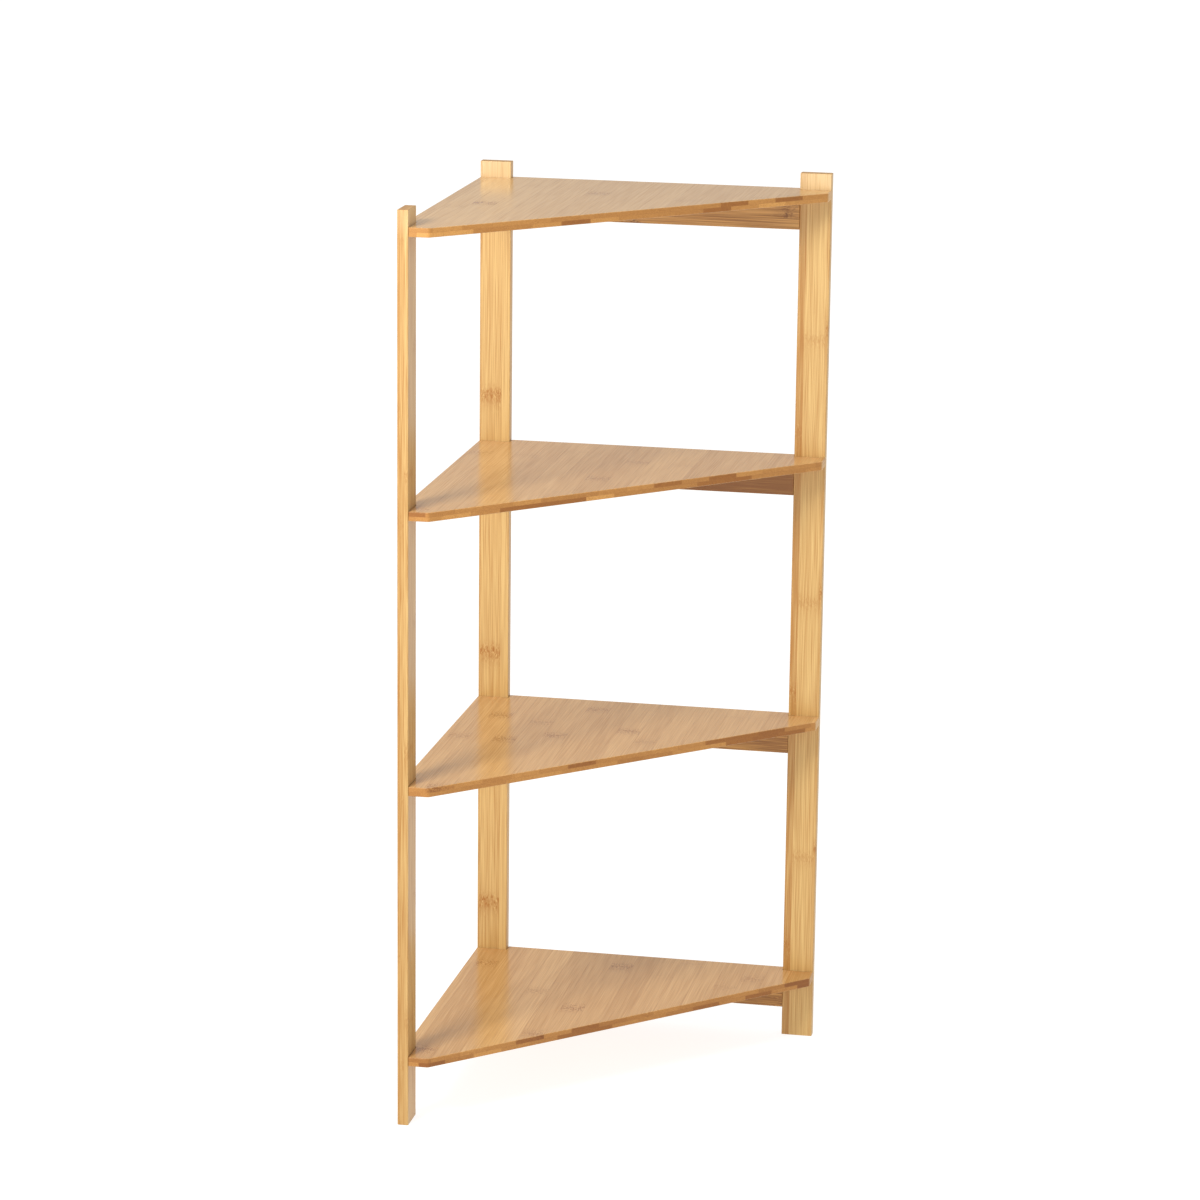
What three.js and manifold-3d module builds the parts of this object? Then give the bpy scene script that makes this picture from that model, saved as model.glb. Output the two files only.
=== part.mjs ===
// Corner shelf unit of laminated bamboo: three flat posts, four triangular shelves notched
// round the posts, and four rails that join the two back posts into a ladder.
// Millimetres. +Z is up, +Y is towards the back wall and -X is towards the side wall.
// The origin is on the floor, in the middle of the square that the unit stands in.

import * as THREE from 'three';
import { mergeVertices } from 'three/addons/utils/BufferGeometryUtils.js';
import Module from 'manifold-3d';

// Whole unit
const UNIT_HEIGHT = 1000;
const WALL_SIDE = 396;

// Posts: the outer face of each lies against a wall, and its width runs along that wall
const POST_WIDTH = 35;
const POST_THICKNESS = 12;

// Shelves
const SHELF_LEVELS = ['top', 'upper', 'lower', 'bottom'];
const SHELF_THICKNESS = 10;
const TOP_SHELF_DROP = 18;
const BOTTOM_SHELF_HEIGHT = 78;
const BOTTOM_BAY_EXTRA = 4;
const SHELF_END_LENGTH = 22;
const SHELF_CORNER_RADIUS = 5;
const SHELF_EDGE_ROUND = 0.8;
const NOTCH_GAP = 0.4;

// Rails: each lies in the plane of the two back posts, under the back edge of its shelf
const RAIL_HEIGHT = 35;
const RAIL_THICKNESS = 12;

// Eased edges of posts and rails
const EDGE_ROUND = 1;
const END_EASE = 0.5;

// Countersunk screws with a hex socket, driven through a post into the edge of a shelf
const SCREW_DIAMETER = 4;
const SCREW_LENGTH = 30;
const SCREW_HEAD_DIAMETER = 8;
const SCREW_HEAD_RIM = 0.4;
const SCREW_TIP_LENGTH = 4;
const SCREW_SINK = 0.3;
const SCREW_SPACING = 18;
const SOCKET_WIDTH = 2.5;
const SOCKET_DEPTH = 1.8;

// Dowels glued between the ends of a rail and the back posts
const DOWEL_DIAMETER = 6;
const DOWEL_LENGTH = 28;
const DOWEL_CHAMFER = 1;
const DOWEL_SPACING = 18;
const DOWEL_END_ROOM = 1;

// Clearance round screws and dowels, and how far a cut runs past the face it opens
const FIT_GAP = 0.3;
const OVERRUN = 2;

// Facets of round forms
const ROUND_SIDES = 12;
const HEX_SIDES = 6;
const CORNER_STEPS = 3;
const BEVEL_STEPS = 2;

// Places that follow from the sizes above
const half = WALL_SIDE / 2;
const shelfReach = POST_THICKNESS + SHELF_END_LENGTH;
const railLength = WALL_SIDE - 2 * POST_WIDTH;
const dowelInset = Math.min(RAIL_THICKNESS, POST_THICKNESS) / 2;
const topShelfHeight = UNIT_HEIGHT - TOP_SHELF_DROP;
const lastLevel = SHELF_LEVELS.length - 1;
const shelfSpacing = (topShelfHeight - BOTTOM_SHELF_HEIGHT - BOTTOM_BAY_EXTRA) / lastLevel;
const screwSides = [{ side: 'a', sign: -1 }, { side: 'b', sign: 1 }];
const dowelSides = [{ side: 'low', sign: -1 }, { side: 'high', sign: 1 }];
const railEnds = [{ end: 'corner', sign: -1 }, { end: 'right', sign: 1 }];

const wasm = await Module();
wasm.setup();

const unit = new THREE.Group();

function shelfTop(level) {
  return level === lastLevel ? BOTTOM_SHELF_HEIGHT : topShelfHeight - level * shelfSpacing;
}

function shelfUnderside(level) {
  return shelfTop(level) - SHELF_THICKNESS;
}

// Solids

function toSolid(geometry) {
  const bare = geometry.clone();
  bare.deleteAttribute('normal');
  bare.deleteAttribute('uv');
  const welded = mergeVertices(bare);
  const corners = welded.index.array;
  const triangles = [];
  for (let first = 0; first < corners.length; first += 3) {
    const [a, b, c] = corners.slice(first, first + 3);
    if (a !== b && b !== c && c !== a) {
      triangles.push(a, b, c);
    }
  }
  return new wasm.Manifold(new wasm.Mesh({
    numProp: 3,
    vertProperties: welded.attributes.position.array,
    triVerts: new Uint32Array(triangles)
  }));
}

function toGeometry(solid) {
  const mesh = solid.getMesh();
  const geometry = new THREE.BufferGeometry();
  geometry.setAttribute('position', new THREE.BufferAttribute(mesh.vertProperties, mesh.numProp));
  geometry.setIndex(new THREE.BufferAttribute(mesh.triVerts, 1));
  geometry.computeVertexNormals();
  return geometry;
}

function cut(solid, cutters) {
  return cutters.reduce((left, cutter) => left.subtract(cutter), solid);
}

// Box between two corners, each given as [x, y, z]
function boxBetween(low, high) {
  const size = high.map((value, axis) => value - low[axis]);
  const middle = high.map((value, axis) => (value + low[axis]) / 2);
  return new THREE.BoxGeometry(...size).translate(...middle);
}

// Closed outline through the corners, each given as [x, y, radius]
function roundedOutline(corners) {
  const shape = new THREE.Shape();
  corners.forEach(([x, y, radius], index) => {
    const corner = new THREE.Vector2(x, y);
    const [before, after] = [corners.at(index - 1), corners[(index + 1) % corners.length]]
      .map(([nextX, nextY]) => new THREE.Vector2(nextX, nextY).sub(corner).normalize());
    const setback = radius / Math.tan(Math.acos(before.dot(after)) / 2);
    const start = corner.clone().addScaledVector(before, setback);
    const end = corner.clone().addScaledVector(after, setback);
    if (index === 0) {
      shape.moveTo(start.x, start.y);
    } else {
      shape.lineTo(start.x, start.y);
    }
    if (radius > 0) {
      shape.quadraticCurveTo(x, y, end.x, end.y);
    }
  });
  shape.closePath();
  return shape;
}

function roundedBar(width, thickness) {
  return roundedOutline([
    [-width / 2, -thickness, EDGE_ROUND],
    [width / 2, -thickness, EDGE_ROUND],
    [width / 2, 0, EDGE_ROUND],
    [-width / 2, 0, EDGE_ROUND]
  ]);
}

function addMesh(parent, name, geometry, look) {
  const material = new THREE.MeshStandardMaterial({ ...look, flatShading: true });
  const mesh = new THREE.Mesh(geometry, material);
  mesh.name = name;
  parent.add(mesh);
  return mesh;
}

// Looks

const postLook = { color: 0xe4ba7c, roughness: 0.42, metalness: 0 };
const shelfLook = { color: 0xcfa173, roughness: 0.36, metalness: 0 };
const railLook = { color: 0xd0a062, roughness: 0.45, metalness: 0 };
const dowelLook = { color: 0xe6cfa4, roughness: 0.75, metalness: 0 };
const screwLook = { color: 0xb4b6b8, roughness: 0.35, metalness: 1 };

// Screws: the head's face is at y = 0 and the shank runs along -Y

const headRadius = SCREW_HEAD_DIAMETER / 2;
const shankRadius = SCREW_DIAMETER / 2;
const coneEnd = SCREW_HEAD_RIM + headRadius - shankRadius;

function turned(profile) {
  const points = profile.map(([radius, height]) => new THREE.Vector2(radius, height));
  return new THREE.LatheGeometry(points, ROUND_SIDES);
}

function screwGeometry() {
  const socketRadius = SOCKET_WIDTH / 2 / Math.cos(Math.PI / HEX_SIDES);
  const body = toSolid(turned([
    [0, -SCREW_LENGTH],
    [shankRadius, -(SCREW_LENGTH - SCREW_TIP_LENGTH)],
    [shankRadius, -coneEnd],
    [headRadius, -SCREW_HEAD_RIM],
    [headRadius, 0],
    [0, 0]
  ]));
  const socket = new THREE.CylinderGeometry(
    socketRadius, socketRadius, SOCKET_DEPTH + OVERRUN, HEX_SIDES);
  socket.translate(0, (OVERRUN - SOCKET_DEPTH) / 2, 0);
  return toGeometry(body.subtract(toSolid(socket)));
}

// The hole of a screw, through the post and on into the shelf
function screwHole() {
  const mouth = headRadius + FIT_GAP;
  const bore = shankRadius + FIT_GAP;
  return turned([
    [0, -SCREW_LENGTH - FIT_GAP],
    [bore, -SCREW_LENGTH - FIT_GAP],
    [bore, -coneEnd],
    [mouth, -SCREW_HEAD_RIM],
    [mouth, OVERRUN],
    [0, OVERRUN]
  ]);
}

// Dowels lie along X, with their middle at x = 0

function dowelGeometry() {
  const radius = DOWEL_DIAMETER / 2;
  const end = DOWEL_LENGTH / 2;
  return toGeometry(toSolid(turned([
    [0, -end],
    [radius - DOWEL_CHAMFER, -end],
    [radius, DOWEL_CHAMFER - end],
    [radius, end - DOWEL_CHAMFER],
    [radius - DOWEL_CHAMFER, end],
    [0, end]
  ]).rotateZ(Math.PI / 2)));
}

function dowelHole() {
  const radius = DOWEL_DIAMETER / 2 + FIT_GAP;
  const length = DOWEL_LENGTH + 2 * DOWEL_END_ROOM;
  return new THREE.CylinderGeometry(radius, radius, length, ROUND_SIDES).rotateZ(Math.PI / 2);
}

// Posts: each is drawn with its outer face at y = 0, its width along X and its foot at z = 0,
// then turned and moved to its wall. joinSide is the side where the rails butt against it.

const posts = [
  { name: 'left', x: -half, y: -half + POST_WIDTH / 2, turn: Math.PI / 2, joinSide: 0 },
  { name: 'corner', x: -half + POST_WIDTH / 2, y: half, turn: 0, joinSide: 1 },
  { name: 'right', x: half - POST_WIDTH / 2, y: half, turn: 0, joinSide: -1 }
];

// Two screws side by side in the middle of a shelf's edge
function screwPlaces(underside) {
  const z = underside + SHELF_THICKNESS / 2;
  return screwSides.map(({ side, sign }) => ({ side, x: sign * SCREW_SPACING / 2, z }));
}

// Two dowels one above the other in the end of a rail
function dowelPlaces(underside) {
  const middle = underside - RAIL_HEIGHT / 2;
  return dowelSides.map(({ side, sign }) => ({ side, z: middle + sign * DOWEL_SPACING / 2 }));
}

function postGeometry(joinSide) {
  const blank = new THREE.ExtrudeGeometry(roundedBar(POST_WIDTH, POST_THICKNESS), {
    depth: UNIT_HEIGHT - 2 * END_EASE,
    curveSegments: CORNER_STEPS,
    bevelThickness: END_EASE,
    bevelSize: END_EASE,
    bevelOffset: -END_EASE,
    bevelSegments: BEVEL_STEPS
  }).translate(0, 0, END_EASE);
  const cutters = [];
  SHELF_LEVELS.forEach((levelName, level) => {
    for (const { x, z } of screwPlaces(shelfUnderside(level))) {
      cutters.push(screwHole().translate(x, -SCREW_SINK, z));
    }
    if (joinSide !== 0) {
      for (const { z } of dowelPlaces(shelfUnderside(level))) {
        cutters.push(dowelHole().translate(joinSide * POST_WIDTH / 2, -dowelInset, z));
      }
    }
  });
  return toGeometry(cut(toSolid(blank), cutters.map(toSolid)));
}

function addPost({ name, x, y, turn, joinSide }) {
  const place = new THREE.Group();
  place.position.set(x, y, 0);
  place.rotation.z = turn;
  addMesh(place, `post_${name}`, postGeometry(joinSide), postLook);
  SHELF_LEVELS.forEach((levelName, level) => {
    for (const { side, x: across, z } of screwPlaces(shelfUnderside(level))) {
      const screw = addMesh(place, `screw_${name}_${levelName}_${side}`, screwShape, screwLook);
      screw.position.set(across, -SCREW_SINK, z);
    }
  });
  unit.add(place);
}

// Shelves: all four are alike, with a right angle at the corner post and two blunt ends

function shelfBlank() {
  const outline = roundedOutline([
    [-half, half, 0],
    [-half, -half, 0],
    [-half + shelfReach, -half, SHELF_CORNER_RADIUS],
    [half, half - shelfReach, SHELF_CORNER_RADIUS],
    [half, half, 0]
  ]);
  return new THREE.ExtrudeGeometry(outline, {
    depth: SHELF_THICKNESS - 2 * SHELF_EDGE_ROUND,
    curveSegments: CORNER_STEPS,
    bevelThickness: SHELF_EDGE_ROUND,
    bevelSize: SHELF_EDGE_ROUND,
    bevelOffset: -SHELF_EDGE_ROUND,
    bevelSegments: BEVEL_STEPS
  }).translate(0, 0, SHELF_EDGE_ROUND);
}

// The room that a post and its screws take out of a shelf
function notchCutters({ x, y, turn }) {
  const side = POST_WIDTH / 2 + NOTCH_GAP;
  const notch = boxBetween(
    [-side, -POST_THICKNESS, -OVERRUN],
    [side, OVERRUN, SHELF_THICKNESS + OVERRUN]);
  const holes = screwPlaces(0)
    .map(({ x: across, z }) => screwHole().translate(across, -SCREW_SINK, z));
  return [notch, ...holes].map((cutter) => cutter.rotateZ(turn).translate(x, y, 0));
}

function addShelves() {
  const cutters = posts.flatMap(notchCutters).map(toSolid);
  const shelf = toGeometry(cut(toSolid(shelfBlank()), cutters));
  SHELF_LEVELS.forEach((levelName, level) => {
    addMesh(unit, `shelf_${levelName}`, shelf, shelfLook).position.z = shelfUnderside(level);
  });
}

// Rails: each is drawn with its top edge at z = 0 and its middle at x = 0

function railGeometry() {
  const blank = new THREE.ExtrudeGeometry(roundedBar(RAIL_HEIGHT, RAIL_THICKNESS), {
    depth: railLength,
    curveSegments: CORNER_STEPS,
    bevelEnabled: false
  }).translate(RAIL_HEIGHT / 2, 0, -railLength / 2).rotateY(Math.PI / 2);
  const cutters = railEnds.flatMap(({ sign }) => dowelPlaces(0)
    .map(({ z }) => dowelHole().translate(sign * railLength / 2, -dowelInset, z)));
  return toGeometry(cut(toSolid(blank), cutters.map(toSolid)));
}

function addRails() {
  const rail = railGeometry();
  SHELF_LEVELS.forEach((levelName, level) => {
    addMesh(unit, `rail_${levelName}`, rail, railLook).position.set(0, half, shelfUnderside(level));
    for (const { end, sign } of railEnds) {
      for (const { side, z } of dowelPlaces(shelfUnderside(level))) {
        const dowel = addMesh(unit, `dowel_${end}_${levelName}_${side}`, dowelShape, dowelLook);
        dowel.position.set(sign * railLength / 2, half - dowelInset, z);
      }
    }
  });
}

const screwShape = screwGeometry();
const dowelShape = dowelGeometry();
posts.forEach(addPost);
addShelves();
addRails();

export default unit;
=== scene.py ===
import bisect
import math
import random
from collections import namedtuple
from types import SimpleNamespace

import bmesh
import bpy
from mathutils import Matrix, Vector


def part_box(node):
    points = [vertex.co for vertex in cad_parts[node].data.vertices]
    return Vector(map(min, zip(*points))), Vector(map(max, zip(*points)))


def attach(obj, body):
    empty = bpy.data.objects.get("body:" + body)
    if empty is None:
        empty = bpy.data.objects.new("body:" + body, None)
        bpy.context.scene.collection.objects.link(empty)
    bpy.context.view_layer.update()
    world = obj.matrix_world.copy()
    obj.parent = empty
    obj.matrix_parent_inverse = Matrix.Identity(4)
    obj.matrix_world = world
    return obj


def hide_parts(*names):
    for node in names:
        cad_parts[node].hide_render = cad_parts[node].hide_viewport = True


# Corner shelf unit of laminated bamboo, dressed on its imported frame. Metres, except where a
# name ends in _MM: the wood's own coordinates are in millimetres.

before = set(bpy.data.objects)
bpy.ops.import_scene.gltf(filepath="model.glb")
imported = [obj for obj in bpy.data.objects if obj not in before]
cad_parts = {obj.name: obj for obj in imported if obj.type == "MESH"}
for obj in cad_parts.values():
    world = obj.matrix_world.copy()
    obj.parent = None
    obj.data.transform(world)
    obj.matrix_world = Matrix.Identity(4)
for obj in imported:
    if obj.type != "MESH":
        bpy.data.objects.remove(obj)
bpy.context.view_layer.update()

MM = 0.001

# Camera, worked out from the photograph
CAMERA_PLACE = (0.85161, -4.38747, 1.64112)
CAMERA_PITCH = math.radians(-13.71)
CAMERA_YAW = math.radians(11.23)
CAMERA_ROLL = math.radians(-0.64)
PHOTO_WIDTH = 1200
FOCAL_LENGTH_PIXELS = 4218.55
SENSOR_WIDTH_MM = 36.0

# Light and floor
HORIZON_LIGHT = 0.53
ZENITH_LIGHT = 0.78
HORIZON_TOP = math.radians(13)
ZENITH_START = math.radians(24)
FLOOR_SIZE = 120.0
FLOOR_GREY = 0.30
FLOOR_ROUGHNESS = 0.9
FLOOR_SHINE = 0.1
FLOOR_GLOW = 0.84
KEY_PLACE = (-0.85, -1.7, 1.85)
KEY_AIM = (0.0, 0.0, 0.7)
KEY_SIZE = 0.6
KEY_POWER = 39.0
PANEL_PLACE = (-0.45, -2.2, 0.68)
PANEL_AIM = (0.0, 0.0, 0.8)
PANEL_SIZE = (0.9, 0.3)
PANEL_POWER = 3.8

# Sizes that the boxes of the frame don't give
SHELF_END_LENGTH = 22 * MM
SHELF_CORNER_RADIUS = 5 * MM
SHELF_EDGE_ROUND = 0.8 * MM
NOTCH_GAP = 0.4 * MM
NOTCH_EASE = 0.15 * MM
LATH_EDGE_ROUND = 1.0 * MM
LATH_END_EASE = 0.5 * MM

# Screws and dowels
SCREW_DIAMETER = 4.0 * MM
SCREW_CORE_SHARE = 0.68
SCREW_TIP_LENGTH = 4.0 * MM
SCREW_TIP_SHARE = 0.02
SCREW_HEAD_RIM = 0.4 * MM
SCREW_NECK_LENGTH = 5.0 * MM
SCREW_HEAD_EASE = 0.15 * MM
THREAD_PITCH = 1.8 * MM
THREAD_WIDTH_SHARE = 0.5
SOCKET_WIDTH = 2.5 * MM
SOCKET_DEPTH = 1.8 * MM
SOCKET_CHAMFER = 0.2 * MM
DOWEL_CHAMFER = 1.0 * MM
DOWEL_FLUTES = 12
DOWEL_FLUTE_DEPTH = 0.25 * MM
FIT_GAP = 0.3 * MM
DOWEL_END_ROOM = 1.0 * MM
OVERRUN = 2.0 * MM

# Facets of round forms
ROUND_STEPS = 5
CORNER_STEPS = 10
EASE_STEPS = 3
SCREW_SIDES = 24
THREAD_STEPS = 6
DOWEL_SIDES = 48
HOLE_SIDES = 40
SMOOTH_ANGLE = math.radians(32)

# Limits and tolerances of the mesh code
PARALLEL_LIMIT = 1e-6
CUT_TOLERANCE = 1e-7
ARRIS_SLANT = 0.12
FLAT_FACE_WEIGHT = 100

# Strips of bamboo that the boards and laths are glued from
LATH_STRIP_MM = 23.5
BOARD_STRIP_MM = 25.7
INTERNODE_MM = 300.0
OPEN_SIDE_MM = 1000.0
BOARD_LAYERS_MM = (5.0, 5.0)
LATH_LAYERS_MM = (4.5, 4.5, 3.0)

# How strips differ: the shape of the spread of their tones, and the ranges of the rest
CHANCE_SEED = 11
TONE_SPREAD = (2.2, 2.6)
NOISE_ROOM_MM = 400.0
NODE_STRENGTHS = (0.2, 1.0)
SOAKS = (0.25, 0.55)

LEVELS = ("top", "upper", "lower", "bottom")
POSTS = ("left", "corner", "right")

posts = {name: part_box(f"post_{name}") for name in POSTS}
shelves = {level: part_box(f"shelf_{level}") for level in LEVELS}


# Meshes

def new_object(name, mesh):
    piece = bpy.data.objects.new(name, mesh)
    bpy.context.scene.collection.objects.link(piece)
    return piece


def lofted(name, rings):
    """A closed mesh through rings of equally many points, with a flat face at each end."""
    count = len(rings[0])
    points = [point for ring in rings for point in ring]
    faces = []
    for first in range(0, (len(rings) - 1) * count, count):
        for side in range(count):
            turn = (side + 1) % count
            faces.append((first + side, first + turn, first + count + turn, first + count + side))
    faces.append(tuple(reversed(range(count))))
    faces.append(tuple(range(len(points) - count, len(points))))
    mesh = bpy.data.meshes.new(name)
    mesh.from_pydata(points, [], faces)
    work = bmesh.new()
    work.from_mesh(mesh)
    bmesh.ops.recalc_face_normals(work, faces=work.faces)
    work.to_mesh(mesh)
    work.free()
    return mesh


def quarter_round(radius, steps):
    """(inset, height) pairs of a quarter circle, from the end face up to the full section."""
    angles = [step / steps * math.pi / 2 for step in range(steps + 1)]
    return [(radius * (1 - math.sin(angle)), radius * (1 - math.cos(angle))) for angle in angles]


def eased_levels(height, radius, steps):
    """(inset, z) pairs for a body of that height whose two ends are eased."""
    low = quarter_round(radius, steps)
    return low + [(inset, height - z) for inset, z in reversed(low)]


def arc(centre, radius, start, sweep, steps):
    angles = [start + sweep * step / steps for step in range(steps + 1)]
    return [Vector((centre[0] + radius * math.cos(a), centre[1] + radius * math.sin(a))) for a in angles]


def lath_section(width, thickness, inset):
    """Rounded rectangle from (0, 0) to (width, thickness), drawn in by inset."""
    radius = max(LATH_EDGE_ROUND - inset, LATH_EDGE_ROUND / 2)
    low = inset + radius
    right, top = width - low, thickness - low
    corners = [
        ((low, low), math.pi),
        ((right, low), -math.pi / 2),
        ((right, top), 0),
        ((low, top), math.pi / 2)]
    arcs = [arc(centre, radius, start, math.pi / 2, ROUND_STEPS) for centre, start in corners]
    return [point for bend in arcs for point in bend]


def inset_outline(outline, insets):
    """The outline with each edge moved inwards by its own inset. Edge i leaves corner i."""
    moved = []
    for index, corner in enumerate(outline):
        before = outline[index - 1]
        after = outline[(index + 1) % len(outline)]
        lines = []
        for start, end, inset in ((before, corner, insets[index - 1]), (corner, after, insets[index])):
            along = (end - start).normalized()
            inwards = Vector((-along.y, along.x))
            lines.append((corner + inwards * inset, along))
        (p, u), (q, v) = lines
        turn = u.x * v.y - u.y * v.x
        if abs(turn) < PARALLEL_LIMIT:
            moved.append(p)
        else:
            moved.append(p + u * (((q - p).x * v.y - (q - p).y * v.x) / turn))
    return moved


def cut_holes(piece, cutters):
    """Takes the cutters' shapes out of the piece, and deletes them."""
    for cutter in cutters:
        modifier = piece.modifiers.new("hole", "BOOLEAN")
        modifier.object = cutter
        modifier.operation = "DIFFERENCE"
        modifier.solver = "EXACT"
    graph = bpy.context.evaluated_depsgraph_get()
    mesh = bpy.data.meshes.new_from_object(piece.evaluated_get(graph))
    piece.modifiers.clear()
    piece.data = mesh
    for cutter in cutters:
        bpy.data.objects.remove(cutter)


def finish_mesh(piece):
    """Smooth shading that keeps flat faces flat and sharp edges sharp."""
    for face in piece.data.polygons:
        face.use_smooth = True
    piece.data.set_sharp_from_angle(angle=SMOOTH_ANGLE)
    weighted = piece.modifiers.new("flat_faces", "WEIGHTED_NORMAL")
    weighted.keep_sharp = True
    weighted.weight = FLAT_FACE_WEIGHT


def dress(piece, node, material):
    """Puts the piece in place of its CAD node."""
    piece.data.materials.clear()
    piece.data.materials.append(material)
    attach(piece, "root")
    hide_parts(node)


# Strips: every board and lath is a stack of layers, and each layer is a row of strips. Rows are
# given from the first face to the last, as (low, high, strips), and strips as (low, high, look).

Look = namedtuple("Look", "tone node_height place node_strength soak")


def strip_look(chance, darker=0.0):
    """How light a strip is, one of its nodes, its place in the noise, and how its cut end soaks."""
    return Look(
        tone=chance.betavariate(*TONE_SPREAD) + darker,
        node_height=chance.uniform(0, INTERNODE_MM),
        place=chance.uniform(0, NOISE_ROOM_MM),
        node_strength=chance.uniform(*NODE_STRENGTHS),
        soak=chance.uniform(*SOAKS))


def strip_rows(width_mm, strip_mm, layers_mm, offsets_mm, chance, darker=0.0):
    """Rows of strips of one width, each row shifted by its own offset."""
    rows = []
    low = 0.0
    for thickness, offset in zip(layers_mm, offsets_mm):
        ends = [0.0]
        place = offset
        while place < width_mm:
            if place > 0:
                ends.append(place)
            place += strip_mm
        ends.append(width_mm)
        strips = [(a, b, strip_look(chance, darker)) for a, b in zip(ends, ends[1:])]
        rows.append((low, low + thickness, strips))
        low += thickness
    return rows


def split_at(piece, origin, axis, places_mm):
    """Cuts the piece's faces where planes square to the axis cross them."""
    work = bmesh.new()
    work.from_mesh(piece.data)
    for place in places_mm:
        geometry = [*work.verts, *work.edges, *work.faces]
        middle = origin + axis * place * MM
        bmesh.ops.bisect_plane(work, geom=geometry, plane_co=middle, plane_no=axis, dist=CUT_TOLERANCE)
    work.to_mesh(piece.data)
    work.free()


def seams(index, rows):
    """Where a row's member meets its neighbours, measured from its own low side."""
    low, high = rows[index][:2]
    first = 0.0 if index > 0 else -OPEN_SIDE_MM
    last = high - low + (0.0 if index < len(rows) - 1 else OPEN_SIDE_MM)
    return (first, last)


def mark_strips(piece, origin, axes, rows):
    """Cuts the piece along its glue lines, and writes on each face which strip it belongs to."""
    across, depth, along = axes
    widths = sorted({low for _, _, strips in rows for low, _, _ in strips[1:]})
    split_at(piece, origin, across, widths)
    split_at(piece, origin, depth, [low for low, _, _ in rows[1:]])
    mesh = piece.data
    mesh.attributes.new("grain", "FLOAT_VECTOR", "CORNER")
    names = ("lamella", "seams_across", "seams_depth", "finish")
    for name in names:
        mesh.attributes.new(name, "FLOAT_VECTOR", "FACE")
    grain = mesh.attributes["grain"]
    lamella, seams_across, seams_depth, finish = (mesh.attributes[name] for name in names)
    layer_ends = [high for _, high, _ in rows[:-1]]
    for face in mesh.polygons:
        centre = (face.center - origin) / MM
        layer = bisect.bisect(layer_ends, centre.dot(depth))
        layer_low, _, strips = rows[layer]
        strip = bisect.bisect([high for _, high, _ in strips[:-1]], centre.dot(across))
        strip_low, _, look = strips[strip]
        lamella.data[face.index].vector = (look.tone, look.node_height, look.place)
        seams_across.data[face.index].vector = (*seams(strip, strips), look.node_strength)
        seams_depth.data[face.index].vector = (*seams(layer, rows), look.soak)
        endness = abs(face.normal.dot(along)) ** 2
        sideness = abs(face.normal.dot(across)) ** 2
        slants = [abs(face.normal.dot(axis)) > ARRIS_SLANT for axis in (depth, across, along)]
        rounded = slants[0] and sum(slants) > 1
        finish.data[face.index].vector = (float(rounded), endness, sideness)
        for corner in face.loop_indices:
            point = (mesh.vertices[mesh.loops[corner].vertex_index].co - origin) / MM
            place = (point.dot(across) - strip_low, point.dot(depth) - layer_low, point.dot(along))
            grain.data[corner].vector = place


# Node trees

class Graph:
    """Adds nodes to a tree. A call gives the node's output, which other calls take as input."""

    def __init__(self, tree):
        self.tree = tree

    def add(self, kind, inputs=None, **settings):
        node = self.tree.nodes.new(kind)
        for name, value in settings.items():
            setattr(node, name, value)
        for name, value in (inputs or {}).items():
            self.set(node.inputs[name], value)
        return node

    def set(self, socket, value):
        if isinstance(value, bpy.types.NodeSocket):
            self.tree.links.new(value, socket)
        else:
            socket.default_value = value

    def math(self, operation, *values, clamp=False):
        node = self.add("ShaderNodeMath", operation=operation, use_clamp=clamp)
        for socket, value in zip(node.inputs, values):
            self.set(socket, value)
        return node.outputs[0]

    def plus(self, a, b):
        return self.math("ADD", a, b)

    def minus(self, a, b):
        return self.math("SUBTRACT", a, b)

    def times(self, a, b):
        return self.math("MULTIPLY", a, b)

    def scaled(self, values, factors):
        """A vector of the values, each times its own factor."""
        return self.vector(*(self.times(value, factor) for value, factor in zip(values, factors)))

    def sway(self, value, strength):
        """How far a value between 0 and 1 is from its middle, times the strength."""
        return self.times(self.minus(value, 0.5), strength)

    def vector(self, x, y, z):
        return self.add("ShaderNodeCombineXYZ", {"X": x, "Y": y, "Z": z}).outputs[0]

    def split(self, vector):
        return self.add("ShaderNodeSeparateXYZ", {"Vector": vector}).outputs[:3]

    def attribute(self, name):
        return self.split(self.add("ShaderNodeAttribute", attribute_name=name).outputs["Vector"])

    def noise(self, vector, detail=2.0, roughness=0.5):
        inputs = {"Vector": vector, "Scale": 1.0, "Detail": detail, "Roughness": roughness}
        return self.add("ShaderNodeTexNoise", inputs).outputs[0]

    def cells(self, vector):
        return self.add("ShaderNodeTexVoronoi", {"Vector": vector, "Scale": 1.0}).outputs["Distance"]

    def ramp(self, value, low, high, to_low=0.0, to_high=1.0):
        names = ("Value", "From Min", "From Max", "To Min", "To Max")
        inputs = dict(zip(names, (value, low, high, to_low, to_high)))
        node = self.add("ShaderNodeMapRange", inputs, interpolation_type="SMOOTHSTEP")
        return node.outputs[0]

    def bell(self, value, width):
        """1 where the value is zero, falling to nothing at a few widths."""
        share = self.math("DIVIDE", value, width)
        return self.math("EXPONENT", self.times(self.times(share, share), -1.0))

    def blend(self, factor, a, b, kind="MIX"):
        node = self.add("ShaderNodeMix", data_type="RGBA", blend_type=kind)
        for name, value in (("Factor_Float", factor), ("A_Color", a), ("B_Color", b)):
            self.set(next(s for s in node.inputs if s.identifier == name), value)
        return next(s for s in node.outputs if s.identifier == "Result_Color")

    def bump(self, height_mm, strength=1.0):
        inputs = {"Height": height_mm, "Distance": MM, "Strength": strength}
        return self.add("ShaderNodeBump", inputs).outputs[0]


def colour(red, green, blue):
    return (red, green, blue, 1.0)


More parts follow.
